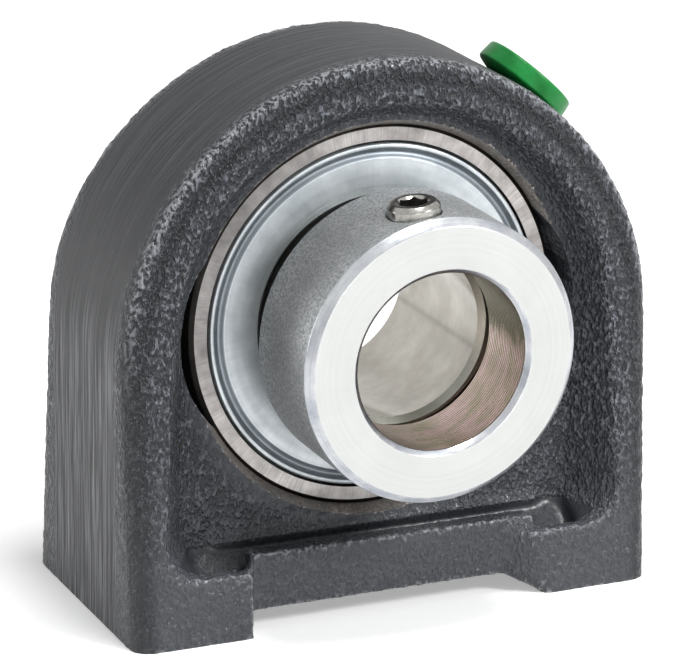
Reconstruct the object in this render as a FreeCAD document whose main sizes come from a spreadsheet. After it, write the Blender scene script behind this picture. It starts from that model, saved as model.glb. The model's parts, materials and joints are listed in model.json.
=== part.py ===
import FreeCAD, Part
import math
import os
import Sketcher

# Short pillow block with an insert bearing and an eccentric locking collar.
# Origin: middle of the bolt pattern, on the base plane. +Z is up, the shaft runs along Y
# and the locking collar is on the -Y side.

SIZES = {
    # Shaft and fastening
    "shaft_diameter": 20.0,
    "bolt_spacing": 50.8,
    "bolt_hole_diameter": 6.8,
    "bolt_hole_depth": 15.0,
    # Housing outline, seen from the front
    "arch_wall": 8.9,
    "arch_drop": 1.9,
    "side_draft": 0.25,
    "base_depth": 32.0,
    "crown_depth": 20.6,
    "outline_edge_radius": 2.2,
    # Pockets in the front and the back
    "web_depth": 17.0,
    "pocket_margin": 0.7,
    "rim_width": 3.4,
    "pocket_corner_radius": 4.5,
    "foot_height": 7.6,
    "trough_top_height": 8.9,
    "trough_floor_height": 4.5,
    "trough_inner_depth": 5.0,
    "trough_margin": 0.3,
    # Feet and the bar between them
    "foot_width": 14.4,
    "foot_wall": 2.6,
    "slanted_foot_width": 13.6,
    "foot_slant": 4.8,
    "bar_setback": 2.0,
    "bar_thickness": 2.4,
    "bar_top_height": 9.2,
    "base_relief": 2.4,
    # Seat of the insert
    "seat_floor": 9.8,
    "insert_width": 14.0,
    "seat_clearance": 0.05,
    "seat_overlap": 0.2,
    "lead_in_growth": 0.8,
    "lead_in_depth": 1.4,
    "grease_groove_width": 3.0,
    "grease_groove_depth": 0.6,
    "slot_cutter_diameter": 29.6,
    "slot_end_clearance": 0.9,
    # Grease hole, its spot face and its plug
    "grease_angle": 42.3,
    "grease_face_diameter": 13.0,
    "grease_face_depth": 0.3,
    "grease_hole_diameter": 5.0,
    "plug_head_diameter": 12.0,
    "plug_foot_diameter": 8.4,
    "plug_head_draft": 0.24,
    "plug_head_thickness": 2.15,
    "plug_taper_height": 0.6,
    "plug_stem_length": 6.5,
    "plug_clearance": 0.06,
    # Balls and rings
    "ball_diameter": 7.938,
    "ball_count": 8,
    "ball_clearance": 0.02,
    "inner_groove_radius": 4.09,
    "outer_groove_radius": 4.17,
    "inner_ring_wall": 3.8,
    "track_rise": 2.95,
    "outer_ring_wall": 6.75,
    "inner_ring_back": 7.5,
    "inner_ring_front": 13.9,
    "bore_chamfer": 0.7,
    "ring_chamfer": 0.4,
    "seal_step": 1.15,
    # Cage
    "cage_inside": 1.75,
    "cage_outside": 1.65,
    "cage_front": 2.2,
    "cage_back": 4.7,
    "cage_pocket_clearance": 0.08,
    # Seals, the same at both sides
    "ring_face_width": 1.53,
    "seal_seat_depth": 4.9,
    "inner_shield_thickness": 0.35,
    "inner_shield_gap": 0.9,
    "lip_thickness": 0.5,
    "lip_gap": 0.06,
    "lip_reach": 0.7,
    "outer_shield_thickness": 0.45,
    "outer_shield_gap": 0.6,
    "outer_shield_reach": 7.15,
    "shield_groove_width": 0.35,
    "shield_bead_width": 0.6,
    "shield_trough_width": 0.7,
    "shield_step": 0.55,
    "shield_chamfer": 0.14,
    # Locking collar and its screw
    "collar_wall": 4.1,
    "collar_width": 13.5,
    "collar_standoff": 2.0,
    "collar_bore_clearance": 0.15,
    "collar_chamfer": 0.9,
    "collar_bore_chamfer": 0.6,
    "collar_recess_depth": 4.1,
    "eccentricity": 1.0,
    "eccentric_angle": 22.0,
    "land_wall": 2.3,
    "land_length": 4.0,
    "land_clearance": 0.1,
    "screw_diameter": 6.0,
    "screw_length": 6.4,
    "screw_projection": 1.2,
    "screw_clearance": 0.05,
    "screw_chamfer": 0.5,
    "screw_inset": 4.6,
    "screw_angle": 7.0,
    "socket_width": 3.0,
    "socket_depth": 3.2,
}

doc = FreeCAD.newDocument("pillow_block")
sheet = doc.addObject("Spreadsheet::Sheet", "Sizes")
for row, (alias, size) in enumerate(SIZES.items(), start=1):
    sheet.set(f"A{row}", alias)
    sheet.set(f"B{row}", str(size))
    sheet.setAlias(f"B{row}", alias)
doc.recompute()

NODES = []

# How far a cut runs past the surface that it opens.
OVERRUN = "1"
# Radius of the rolled ridge and trough of a shield, as a share of their width.
ROLL = "0.55"
# An edge lower than this lies on the base plane.
ON_BASE = 0.01

# The radii of the insert, from the shaft outwards, and the height of the shaft over the base.
BORE_RADIUS = "(Sizes.shaft_diameter / 2)"
INNER_RADIUS = f"({BORE_RADIUS} + Sizes.inner_ring_wall)"
PITCH_RADIUS = f"({INNER_RADIUS} + Sizes.track_rise)"
INSERT_RADIUS = f"({PITCH_RADIUS} + Sizes.outer_ring_wall)"
CENTRE = f"({INSERT_RADIUS} + Sizes.seat_floor)"


def value(expression):
    """The number that an expression on the sheet gives."""
    result = sheet.evalExpression(expression)
    return getattr(result, "Value", result)


def new_body(name, bearing_centre=True):
    """A piece of the assembly; the insert's pieces have their origin at the bearing's centre."""
    body = doc.addObject("PartDesign::Body", name)
    body.Label = name
    if bearing_centre:
        body.setExpression(".Placement.Base.z", CENTRE)
    NODES.append(body)
    return body


def origin_plane(body, role):
    return next(item for item in body.Origin.OriginFeatures if item.Role == role)


def new_sketch(body, role, name, offset=None):
    """A sketch on one of the body's planes, moved along the plane's normal by an expression."""
    sketch = body.newObject("Sketcher::SketchObject", name)
    sketch.AttachmentSupport = [(origin_plane(body, role), "")]
    sketch.MapMode = "FlatFace"
    if offset:
        sketch.setExpression(".AttachmentOffset.Base.z", offset)
    return sketch


def bound(sketch, constraint, expression):
    index = sketch.addConstraint(constraint)
    sketch.setExpression(f"Constraints[{index}]", expression)


def arc_between(start, end, radius, turn):
    """The minor arc from start to end; turn is 1 for anticlockwise and -1 for clockwise."""
    chord = end - start
    height = math.sqrt(max(radius ** 2 - (chord.Length / 2) ** 2, 0))
    side = FreeCAD.Vector(-chord.y, chord.x, 0).normalize()
    centre = start + chord / 2 + side * (height * turn)
    circle = Part.Circle(centre, FreeCAD.Vector(0, 0, 1), radius)
    first, last = (start, end) if turn > 0 else (end, start)
    angles = [math.atan2(point.y - centre.y, point.x - centre.x) for point in (first, last)]
    if angles[1] < angles[0]:
        angles[1] += 2 * math.pi
    return Part.ArcOfCircle(circle, *angles)


def draw(sketch, corners):
    """A closed outline. A corner is (x, y), or (x, y, radius, turn) where an arc leaves it."""
    points = [FreeCAD.Vector(value(corner[0]), value(corner[1]), 0) for corner in corners]
    starts = []
    for corner, start, end in zip(corners, points, points[1:] + points[:1]):
        if len(corner) == 2:
            sketch.addGeometry(Part.LineSegment(start, end))
            starts.append(1)
        else:
            sketch.addGeometry(arc_between(start, end, value(corner[2]), corner[3]))
            starts.append(1 if corner[3] > 0 else 2)
    for index, corner in enumerate(corners):
        before = index - 1 if index else len(corners) - 1
        end_before = 3 - starts[before]
        sketch.addConstraint(Sketcher.Constraint("Coincident", before, end_before, index, starts[index]))
        for kind, expression, number in (("DistanceX", corner[0], points[index].x),
                                         ("DistanceY", corner[1], points[index].y)):
            bound(sketch, Sketcher.Constraint(kind, -1, 1, index, starts[index], number), expression)
        if len(corner) > 2:
            bound(sketch, Sketcher.Constraint("Radius", index, value(corner[2])), corner[2])


def draw_circle(sketch, x, y, radius):
    centre = FreeCAD.Vector(value(x), value(y), 0)
    sketch.addGeometry(Part.Circle(centre, FreeCAD.Vector(0, 0, 1), value(radius)))
    bound(sketch, Sketcher.Constraint("DistanceX", -1, 1, 0, 3, centre.x), x)
    bound(sketch, Sketcher.Constraint("DistanceY", -1, 1, 0, 3, centre.y), y)
    bound(sketch, Sketcher.Constraint("Radius", 0, value(radius)), radius)


def turned(body, name, corners, cut=False, role="XY_Plane", offset=None):
    """A turned form or a turned cut, about the sketch's upright axis."""
    sketch = new_sketch(body, role, name + "_section", offset)
    draw(sketch, corners)
    feature = body.newObject("PartDesign::Groove" if cut else "PartDesign::Revolution", name)
    feature.Profile = sketch
    feature.ReferenceAxis = (sketch, ["V_Axis"])
    feature.Angle = 360
    return feature


def along_normal(body, kind, name, sketch, length, both_ways=False, with_normal=True):
    """A pad or a pocket of a sketch, along its normal, against it or both ways."""
    feature = body.newObject("PartDesign::" + kind, name)
    feature.Profile = sketch
    if both_ways:
        feature.SideType = "Symmetric"
    feature.Reversed = with_normal if kind == "Pocket" else not with_normal
    feature.setExpression("Length", length)
    return feature


def placed(feature, body, x="0", y="0", z="0", lean=None):
    """Stand a primitive of a body at a point, leaning from +Z towards +X."""
    feature.AttachmentSupport = [(origin_plane(body, "XY_Plane"), "")]
    feature.MapMode = "FlatFace"
    feature.setExpression(".AttachmentOffset.Base.x", x)
    feature.setExpression(".AttachmentOffset.Base.y", y)
    feature.setExpression(".AttachmentOffset.Base.z", z)
    if lean:
        feature.AttachmentOffset = FreeCAD.Placement(
            FreeCAD.Vector(value(x), value(y), value(z)),
            FreeCAD.Rotation(FreeCAD.Vector(0, 1, 0), value(lean)))
        feature.setExpression(".AttachmentOffset.Rotation.Angle", lean + " * 1deg")


def block(body, name, cut, corner, size):
    """A box of the body from its lowest corner and its size."""
    box = body.newObject("PartDesign::" + ("Subtractive" if cut else "Additive") + "Box", name)
    placed(box, body, *corner)
    for side, expression in zip(("Length", "Width", "Height"), size):
        box.setExpression(side, expression)


def rod(body, name, cut, base, radius, height, lean):
    cylinder = body.newObject("PartDesign::" + ("Subtractive" if cut else "Additive") + "Cylinder", name)
    placed(cylinder, body, *base, lean=lean)
    cylinder.setExpression("Radius", radius)
    cylinder.setExpression("Height", height)


# Housing: grey cast iron, one piece, arched, with a spherical seat for the insert.
# The front and back are drafted towards the crown and hollowed inside a rim.
housing = new_body("housing", bearing_centre=False)

DRAFT = "(Sizes.side_draft * 1deg)"
ARCH_RADIUS = f"({INSERT_RADIUS} + Sizes.arch_wall)"
ARCH_CENTRE = f"({CENTRE} - Sizes.arch_drop)"
TANGENT_X = f"{ARCH_RADIUS} * cos({DRAFT})"
TANGENT_Z = f"({ARCH_CENTRE} - {ARCH_RADIUS} * sin({DRAFT}))"
BASE_HALF = f"({TANGENT_X} - {TANGENT_Z} * tan({DRAFT}))"
CROWN = f"({ARCH_CENTRE} + {ARCH_RADIUS})"
HALF_DEPTH = "(Sizes.base_depth / 2)"

outline = new_sketch(housing, "XZ_Plane", "housing_outline")
draw(outline, [
    (f"-{BASE_HALF}", "0"),
    (BASE_HALF, "0"),
    (TANGENT_X, TANGENT_Z, ARCH_RADIUS, 1),
    ("0", CROWN, ARCH_RADIUS, 1),
    (f"-{TANGENT_X}", TANGENT_Z),
])
along_normal(housing, "Pad", "housing_block", outline, "Sizes.base_depth", both_ways=True)

for name, side in (("front", -1), ("back", 1)):
    wedge = new_sketch(housing, "YZ_Plane", f"{name}_draft_section")
    draw(wedge, [
        (f"{side} * {HALF_DEPTH}", "0"),
        (f"{side} * Sizes.crown_depth / 2", CROWN),
        (f"{side} * {HALF_DEPTH}", f"{CROWN} + Sizes.base_depth"),
        (f"{side} * Sizes.base_depth", CROWN),
    ])
    along_normal(housing, "Pocket", f"{name}_draft", wedge, f"4 * {ARCH_RADIUS}", both_ways=True)
doc.recompute()


def outline_edges(shape):
    """The front and back edges of the block's outline, without those on the base."""
    names = []
    for number, edge in enumerate(shape.Edges, start=1):
        middle = edge.valueAt((edge.FirstParameter + edge.LastParameter) / 2)
        runs_across = abs(edge.Vertexes[0].Y - edge.Vertexes[-1].Y) < value("Sizes.base_depth") / 2
        if middle.z > ON_BASE and runs_across and abs(middle.y) > value("Sizes.crown_depth") / 4:
            names.append(f"Edge{number}")
    return names


rounding = housing.newObject("PartDesign::Fillet", "outline_rounding")
rounding.Base = (doc.getObject("back_draft"), outline_edges(doc.getObject("back_draft").Shape))
rounding.setExpression("Radius", "Sizes.outline_edge_radius")

# A flat spot face on the arch, square to the grease hole, seats the plug.
GREASE = "(Sizes.grease_angle * 1deg)"
FACE_REACH = f"({ARCH_RADIUS} - Sizes.arch_drop * cos({GREASE}) - Sizes.grease_face_depth)"
rod(housing, "grease_face", True,
    (f"{FACE_REACH} * sin({GREASE})", "0", f"{CENTRE} + {FACE_REACH} * cos({GREASE})"),
    "Sizes.grease_face_diameter / 2", f"Sizes.grease_face_depth + {OVERRUN}", "Sizes.grease_angle")


def pocket_section(name, depth, half_width, side):
    """One cross-section of a pocket: straight sides, rounded lower corners, arched top."""
    sketch = new_sketch(housing, "XZ_Plane", name, f"{-side} * {depth}")
    low = "Sizes.foot_height"
    corner = "Sizes.pocket_corner_radius"
    draw(sketch, [
        (f"{corner} - {half_width}", low),
        (f"{half_width} - {corner}", low, corner, 1),
        (half_width, f"{low} + {corner}"),
        (half_width, CENTRE, half_width, 1),
        ("0", f"{CENTRE} + {half_width}", half_width, 1),
        (f"-{half_width}", CENTRE),
        (f"-{half_width}", f"{low} + {corner}", corner, 1),
    ])
    return sketch


BAR_FACE = f"({HALF_DEPTH} - Sizes.bar_setback)"
BAR_HALF = f"({BASE_HALF} - Sizes.foot_width)"
SLANT_HALF = f"({BASE_HALF} - Sizes.slanted_foot_width)"
POCKET_HALF = f"({INSERT_RADIUS} + Sizes.pocket_margin)"
TROUGH_HALF = f"({POCKET_HALF} - Sizes.trough_margin)"
TROUGH_REACH = f"({HALF_DEPTH} - Sizes.foot_wall)"
for name, side in (("front", -1), ("back", 1)):
    floor = pocket_section(f"{name}_pocket_floor", "Sizes.web_depth / 2", POCKET_HALF, side)
    mouth = pocket_section(f"{name}_pocket_mouth", HALF_DEPTH,
                           f"({ARCH_RADIUS} - Sizes.rim_width)", side)
    pocket = housing.newObject("PartDesign::SubtractiveLoft", f"{name}_pocket")
    pocket.Profile = floor
    pocket.Sections = [mouth]
    pocket.Ruled = True

    # A trough runs under the web and behind the front walls of the feet, which a thin bar joins.
    trough_low = TROUGH_REACH if side < 0 else "(-Sizes.trough_inner_depth)"
    block(housing, f"{name}_trough", True,
          (f"-{TROUGH_HALF}", f"-{trough_low}", "Sizes.trough_floor_height"),
          (f"2 * {TROUGH_HALF}", f"{TROUGH_REACH} - Sizes.trough_inner_depth",
           "Sizes.trough_top_height - Sizes.trough_floor_height"))
    bar_low = BAR_FACE if side < 0 else f"(Sizes.bar_thickness - {BAR_FACE})"
    block(housing, f"{name}_bar", False, (f"-{BAR_HALF}", f"-{bar_low}", "0"),
          (f"2 * {BAR_HALF}", "Sizes.bar_thickness", "Sizes.bar_top_height"))

    # The recess in front of the bar and the relief under it both end in a slant at one foot.
    slant_x = f"{-side} * ({SLANT_HALF} - Sizes.foot_slant)"
    recess = new_sketch(housing, "XY_Plane", f"{name}_recess_outline")
    draw(recess, [
        (f"{side} * {BAR_HALF}", f"{side} * Sizes.base_depth"),
        (f"{side} * {BAR_HALF}", f"{side} * {BAR_FACE}"),
        (slant_x, f"{side} * {BAR_FACE}"),
        (f"{-side} * {SLANT_HALF}", f"{side} * {HALF_DEPTH}"),
        (f"{-side} * {SLANT_HALF}", f"{side} * Sizes.base_depth"),
    ])
    along_normal(housing, "Pocket", f"{name}_recess", recess, "Sizes.bar_top_height")
    relief = new_sketch(housing, "XZ_Plane", f"{name}_relief_outline")
    draw(relief, [
        (f"{side} * {BAR_HALF}", "0"),
        (f"{side} * {BAR_HALF}", "Sizes.base_relief"),
        (slant_x, "Sizes.base_relief"),
        (f"{-side} * {SLANT_HALF}", "0"),
    ])
    along_normal(housing, "Pocket", f"{name}_relief", relief, "Sizes.base_depth",
                 with_normal=side < 0)

# The seat: a spherical bore, a grease groove in its middle and a turned lead-in at each end.
SEAT_RADIUS = f"({INSERT_RADIUS} + Sizes.seat_clearance)"
SEAT_END = "(Sizes.insert_width / 2 + Sizes.seat_overlap)"
SEAT_EDGE = f"sqrt({SEAT_RADIUS} ^ 2 - {SEAT_END} ^ 2)"
LEAD_IN = f"({SEAT_EDGE} + Sizes.lead_in_growth)"
LEAD_END = f"({SEAT_END} + Sizes.lead_in_depth)"
turned(housing, "seat", [
    ("0", "-Sizes.base_depth"),
    (LEAD_IN, "-Sizes.base_depth"),
    (LEAD_IN, f"-{LEAD_END}"),
    (SEAT_EDGE, f"-{SEAT_END}", SEAT_RADIUS, 1),
    (SEAT_EDGE, SEAT_END),
    (LEAD_IN, LEAD_END),
    (LEAD_IN, "Sizes.base_depth"),
    ("0", "Sizes.base_depth"),
], cut=True, offset=CENTRE)
GROOVE_RADIUS = f"({SEAT_RADIUS} + Sizes.grease_groove_depth)"
turned(housing, "grease_groove", [
    ("0", "-Sizes.grease_groove_width / 2"),
    (GROOVE_RADIUS, "-Sizes.grease_groove_width / 2"),
    (GROOVE_RADIUS, "Sizes.grease_groove_width / 2"),
    ("0", "Sizes.grease_groove_width / 2"),
], cut=True, offset=CENTRE)

# The insert goes in edge on through two slots at shaft height, open to the front. Each is cut
# by a round cutter, so it runs out to a point above and below.
SLOT_RADIUS = "(Sizes.slot_cutter_diameter / 2)"
SLOT_REACH = f"({INSERT_RADIUS} + Sizes.slot_end_clearance - {SLOT_RADIUS})"
for name, side in (("left", -1), ("right", 1)):
    slot = new_sketch(housing, "XZ_Plane", f"{name}_slot_outline")
    draw_circle(slot, f"{side} * {SLOT_REACH}", CENTRE, SLOT_RADIUS)
    along_normal(housing, "Pocket", f"{name}_filling_slot", slot, HALF_DEPTH)

rod(housing, "grease_hole", True, ("0", "0", CENTRE),
    "Sizes.grease_hole_diameter / 2", f"{FACE_REACH} + {OVERRUN}", "Sizes.grease_angle")
for name, side in (("left", -1), ("right", 1)):
    rod(housing, f"{name}_bolt_hole", True, (f"{side} * Sizes.bolt_spacing / 2", "0", "0"),
        "Sizes.bolt_hole_diameter / 2", "Sizes.bolt_hole_depth", None)

# Outer ring: bearing steel, ground outside to a sphere, with a raceway and two seal seats.
HALF_WIDTH = "(Sizes.insert_width / 2)"
EDGE_END = f"({HALF_WIDTH} - Sizes.ring_chamfer)"
EDGE_RADIUS = f"sqrt({INSERT_RADIUS} ^ 2 - {EDGE_END} ^ 2)"
FACE_RADIUS = f"(sqrt({INSERT_RADIUS} ^ 2 - {HALF_WIDTH} ^ 2) - Sizes.ring_chamfer)"
SEAL_RADIUS = f"({FACE_RADIUS} - Sizes.ring_face_width)"
SHOULDER = f"({SEAL_RADIUS} - Sizes.seal_step)"
BALL_RADIUS = "(Sizes.ball_diameter / 2)"
OUTER_CENTRE = (f"({PITCH_RADIUS} + {BALL_RADIUS} + Sizes.ball_clearance"
                " - Sizes.outer_groove_radius)")
OUTER_HALF = f"sqrt(Sizes.outer_groove_radius ^ 2 - ({SHOULDER} - {OUTER_CENTRE}) ^ 2)"
outer_ring = new_body("outer_ring")
turned(outer_ring, "outer_ring_turning", [
    (SEAL_RADIUS, f"-{HALF_WIDTH}"),
    (FACE_RADIUS, f"-{HALF_WIDTH}"),
    (EDGE_RADIUS, f"-{EDGE_END}", INSERT_RADIUS, 1),
    (EDGE_RADIUS, EDGE_END),
    (FACE_RADIUS, HALF_WIDTH),
    (SEAL_RADIUS, HALF_WIDTH),
    (SEAL_RADIUS, "Sizes.seal_seat_depth"),
    (SHOULDER, "Sizes.seal_seat_depth"),
    (SHOULDER, OUTER_HALF, "Sizes.outer_groove_radius", -1),
    (SHOULDER, f"-{OUTER_HALF}"),
    (SHOULDER, "-Sizes.seal_seat_depth"),
    (SEAL_RADIUS, "-Sizes.seal_seat_depth"),
])

# Inner ring: longer at the front, where an eccentric land takes the locking collar.
INNER_CENTRE = (f"({PITCH_RADIUS} - {BALL_RADIUS} - Sizes.ball_clearance"
                " + Sizes.inner_groove_radius)")
INNER_HALF = f"sqrt(Sizes.inner_groove_radius ^ 2 - ({INNER_CENTRE} - {INNER_RADIUS}) ^ 2)"
LAND_START = "(Sizes.inner_ring_front - Sizes.land_length)"
LAND_RADIUS = f"({BORE_RADIUS} + Sizes.land_wall)"
LAND_X = "(-Sizes.eccentricity * sin(Sizes.eccentric_angle * 1deg))"
LAND_Z = "(Sizes.eccentricity * cos(Sizes.eccentric_angle * 1deg))"
inner_ring = new_body("inner_ring")
turned(inner_ring, "inner_ring_turning", [
    ("0", f"-{LAND_START}"),
    (f"{INNER_RADIUS} - Sizes.ring_chamfer", f"-{LAND_START}"),
    (INNER_RADIUS, f"Sizes.ring_chamfer - {LAND_START}"),
    (INNER_RADIUS, f"-{INNER_HALF}", "Sizes.inner_groove_radius", -1),
    (INNER_RADIUS, INNER_HALF),
    (INNER_RADIUS, "Sizes.inner_ring_back - Sizes.ring_chamfer"),
    (f"{INNER_RADIUS} - Sizes.ring_chamfer", "Sizes.inner_ring_back"),
    ("0", "Sizes.inner_ring_back"),
])
land = new_sketch(inner_ring, "XZ_Plane", "land_outline", LAND_START)
draw_circle(land, LAND_X, LAND_Z, LAND_RADIUS)
along_normal(inner_ring, "Pad", "eccentric_land", land, "Sizes.land_length")
turned(inner_ring, "inner_ring_bore", [
    ("0", "-Sizes.inner_ring_front"),
    (f"{BORE_RADIUS} + Sizes.bore_chamfer", "-Sizes.inner_ring_front"),
    (BORE_RADIUS, "Sizes.bore_chamfer - Sizes.inner_ring_front"),
    (BORE_RADIUS, "Sizes.inner_ring_back - Sizes.bore_chamfer"),
    (f"{BORE_RADIUS} + Sizes.bore_chamfer", "Sizes.inner_ring_back"),
    ("0", "Sizes.inner_ring_back"),
], cut=True)

# Balls, one node each.
ball_count = int(value("Sizes.ball_count"))
for number in range(ball_count):
    angle = f"({number} * 360deg / Sizes.ball_count)"
    ball = doc.addObject("Part::Sphere", f"ball_{number + 1}")
    ball.Label = f"ball_{number + 1}"
    ball.setExpression("Radius", BALL_RADIUS)
    ball.setExpression(".Placement.Base.x", f"{PITCH_RADIUS} * cos({angle})")
    ball.setExpression(".Placement.Base.z", f"{CENTRE} + {PITCH_RADIUS} * sin({angle})")
    NODES.append(ball)

# Cage: a moulded crown whose pockets snap over the balls from the back.
CAGE_INNER = f"({PITCH_RADIUS} - Sizes.cage_inside)"
CAGE_OUTER = f"({PITCH_RADIUS} + Sizes.cage_outside)"
cage = new_body("cage")
turned(cage, "cage_ring", [
    (CAGE_INNER, "-Sizes.cage_front"),
    (CAGE_OUTER, "-Sizes.cage_front"),
    (CAGE_OUTER, "Sizes.cage_back"),
    (CAGE_INNER, "Sizes.cage_back"),
])
cage_pocket = cage.newObject("PartDesign::SubtractiveSphere", "cage_pocket")
placed(cage_pocket, cage, x=PITCH_RADIUS)
cage_pocket.setExpression("Radius", f"{BALL_RADIUS} + Sizes.cage_pocket_clearance")
doc.recompute()
cage_pockets = cage.newObject("PartDesign::PolarPattern", "cage_pockets")
cage_pockets.Originals = [cage_pocket]
cage_axis = next(item for item in cage.Origin.OriginFeatures if item.Role == "Y_Axis")
cage_pockets.Axis = (cage_axis, [""])
cage_pockets.Angle = 360
cage_pockets.setExpression("Occurrences", "Sizes.ball_count")
cage.Tip = cage_pockets

# Seals: an inner shield, a rubber lip and an outer shield pressed into the outer ring.
LIP_START = "(Sizes.seal_seat_depth + Sizes.inner_shield_thickness)"
SHIELD_START = f"({LIP_START} + Sizes.lip_thickness)"
REACH = "Sizes.outer_shield_reach"
BEAD_OUTSIDE = f"({SEAL_RADIUS} - Sizes.shield_groove_width)"
BEAD_INSIDE = f"({BEAD_OUTSIDE} - Sizes.shield_bead_width)"
TROUGH_INSIDE = f"({BEAD_INSIDE} - Sizes.shield_trough_width)"
LIP_RADIUS = f"({INNER_RADIUS} + Sizes.lip_gap)"
INNER_SHIELD_BORE = f"({INNER_RADIUS} + Sizes.inner_shield_gap)"
OUTER_SHIELD_BORE = f"({INNER_RADIUS} + Sizes.outer_shield_gap)"
STEP_DEPTH = f"({REACH} - Sizes.shield_step)"
for name, side in (("front", -1), ("back", 1)):
    inner_shield = new_body(f"{name}_inner_shield")
    turned(inner_shield, f"{name}_inner_shield_disc", [
        (INNER_SHIELD_BORE, f"{side} * Sizes.seal_seat_depth"),
        (SEAL_RADIUS, f"{side} * Sizes.seal_seat_depth"),
        (SEAL_RADIUS, f"{side} * {LIP_START}"),
        (INNER_SHIELD_BORE, f"{side} * {LIP_START}"),
    ])
    lip = new_body(f"{name}_seal_lip")
    turned(lip, f"{name}_lip_moulding", [
        (INNER_SHIELD_BORE, f"{side} * {LIP_START}"),
        (SEAL_RADIUS, f"{side} * {LIP_START}"),
        (SEAL_RADIUS, f"{side} * {SHIELD_START}"),
        (f"{INNER_SHIELD_BORE} + Sizes.lip_thickness", f"{side} * {SHIELD_START}"),
        (f"{LIP_RADIUS} + Sizes.lip_thickness", f"{side} * ({SHIELD_START} + Sizes.lip_reach)"),
        (LIP_RADIUS, f"{side} * ({SHIELD_START} + Sizes.lip_reach)"),
        (LIP_RADIUS, f"{side} * {SHIELD_START}"),
    ])
    shield = new_body(f"{name}_outer_shield")
    turned(shield, f"{name}_outer_shield_pressing", [
        (f"{TROUGH_INSIDE} - Sizes.outer_shield_thickness", f"{side} * {SHIELD_START}"),
        (SEAL_RADIUS, f"{side} * {SHIELD_START}"),
        (BEAD_OUTSIDE, f"{side} * ({SHIELD_START} + Sizes.shield_groove_width)"),
        (BEAD_OUTSIDE, f"{side} * ({REACH} - Sizes.shield_bead_width / 2)",
         f"Sizes.shield_bead_width * {ROLL}", side),
        (BEAD_INSIDE, f"{side} * ({REACH} - Sizes.shield_bead_width / 2)"),
        (BEAD_INSIDE, f"{side} * {STEP_DEPTH}", f"Sizes.shield_trough_width * {ROLL}", -side),
        (TROUGH_INSIDE, f"{side} * {STEP_DEPTH}"),
        (TROUGH_INSIDE, f"{side} * ({REACH} - Sizes.shield_chamfer)"),
        (f"{TROUGH_INSIDE} - Sizes.shield_chamfer", f"{side} * {REACH}"),
        (OUTER_SHIELD_BORE, f"{side} * {REACH}"),
        (OUTER_SHIELD_BORE, f"{side} * ({REACH} - Sizes.outer_shield_thickness)"),
        (f"{TROUGH_INSIDE} - Sizes.outer_shield_thickness",
         f"{side} * ({REACH} - Sizes.outer_shield_thickness)"),
    ])

# Locking collar: its recess fits the eccentric land; a screw holds it to the shaft.
COLLAR_RADIUS = f"({LAND_RADIUS} + Sizes.collar_wall)"
COLLAR_BORE = f"({BORE_RADIUS} + Sizes.collar_bore_clearance)"
COLLAR_BACK = "(Sizes.inner_ring_front - Sizes.collar_recess_depth + Sizes.collar_standoff)"
COLLAR_FRONT = f"({COLLAR_BACK} + Sizes.collar_width)"
SCREW_DEPTH = f"({COLLAR_FRONT} - Sizes.screw_inset)"
collar = new_body("locking_collar")
turned(collar, "collar_turning", [
    (COLLAR_BORE, f"-{COLLAR_BACK}"),
    (f"{COLLAR_RADIUS} - Sizes.ring_chamfer", f"-{COLLAR_BACK}"),
    (COLLAR_RADIUS, f"-({COLLAR_BACK} + Sizes.ring_chamfer)"),
    (COLLAR_RADIUS, f"Sizes.collar_chamfer - {COLLAR_FRONT}"),
    (f"{COLLAR_RADIUS} - Sizes.collar_chamfer", f"-{COLLAR_FRONT}"),
    (f"{COLLAR_BORE} + Sizes.collar_bore_chamfer", f"-{COLLAR_FRONT}"),
    (COLLAR_BORE, f"Sizes.collar_bore_chamfer - {COLLAR_FRONT}"),
])
recess_circle = new_sketch(collar, "XZ_Plane", "collar_recess_outline", COLLAR_BACK)
draw_circle(recess_circle, LAND_X, LAND_Z, f"{LAND_RADIUS} + Sizes.land_clearance")
along_normal(collar, "Pocket", "collar_recess", recess_circle, "Sizes.collar_recess_depth")
rod(collar, "collar_screw_hole", True, ("0", f"-{SCREW_DEPTH}", "0"),
    "Sizes.screw_diameter / 2 + Sizes.screw_clearance", f"{COLLAR_RADIUS} + {OVERRUN}", "-Sizes.screw_angle")

# Set screw: hardened steel, hexagon socket, standing a little proud of the collar.
SCREW_RADIUS = "(Sizes.screw_diameter / 2)"
SCREW_FOOT = f"({COLLAR_RADIUS} + Sizes.screw_projection - Sizes.screw_length)"
screw = new_body("set_screw", bearing_centre=False)
turned(screw, "screw_turning", [
    ("0", "0"),
    (f"{SCREW_RADIUS} - Sizes.screw_chamfer", "0"),
    (SCREW_RADIUS, "Sizes.screw_chamfer"),
    (SCREW_RADIUS, "Sizes.screw_length - Sizes.screw_chamfer"),
    (f"{SCREW_RADIUS} - Sizes.screw_chamfer", "Sizes.screw_length"),
    ("0", "Sizes.screw_length"),
], role="XZ_Plane")
socket = new_sketch(screw, "XY_Plane", "socket_outline", "Sizes.screw_length")
draw(socket, [(f"Sizes.socket_width / sqrt(3) * cos({60 * step}deg)",
               f"Sizes.socket_width / sqrt(3) * sin({60 * step}deg)") for step in range(6)])
along_normal(screw, "Pocket", "screw_socket", socket, "Sizes.socket_depth", with_normal=False)
screw.Placement.Rotation = FreeCAD.Rotation(FreeCAD.Vector(0, 1, 0), -value("Sizes.screw_angle"))
screw.setExpression(".Placement.Rotation.Angle", "-Sizes.screw_angle * 1deg")
screw.setExpression(".Placement.Base.x", f"-{SCREW_FOOT} * sin(Sizes.screw_angle * 1deg)")
screw.setExpression(".Placement.Base.y", f"-{SCREW_DEPTH}")
screw.setExpression(".Placement.Base.z",
                    f"{CENTRE} + {SCREW_FOOT} * cos(Sizes.screw_angle * 1deg)")

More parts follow.
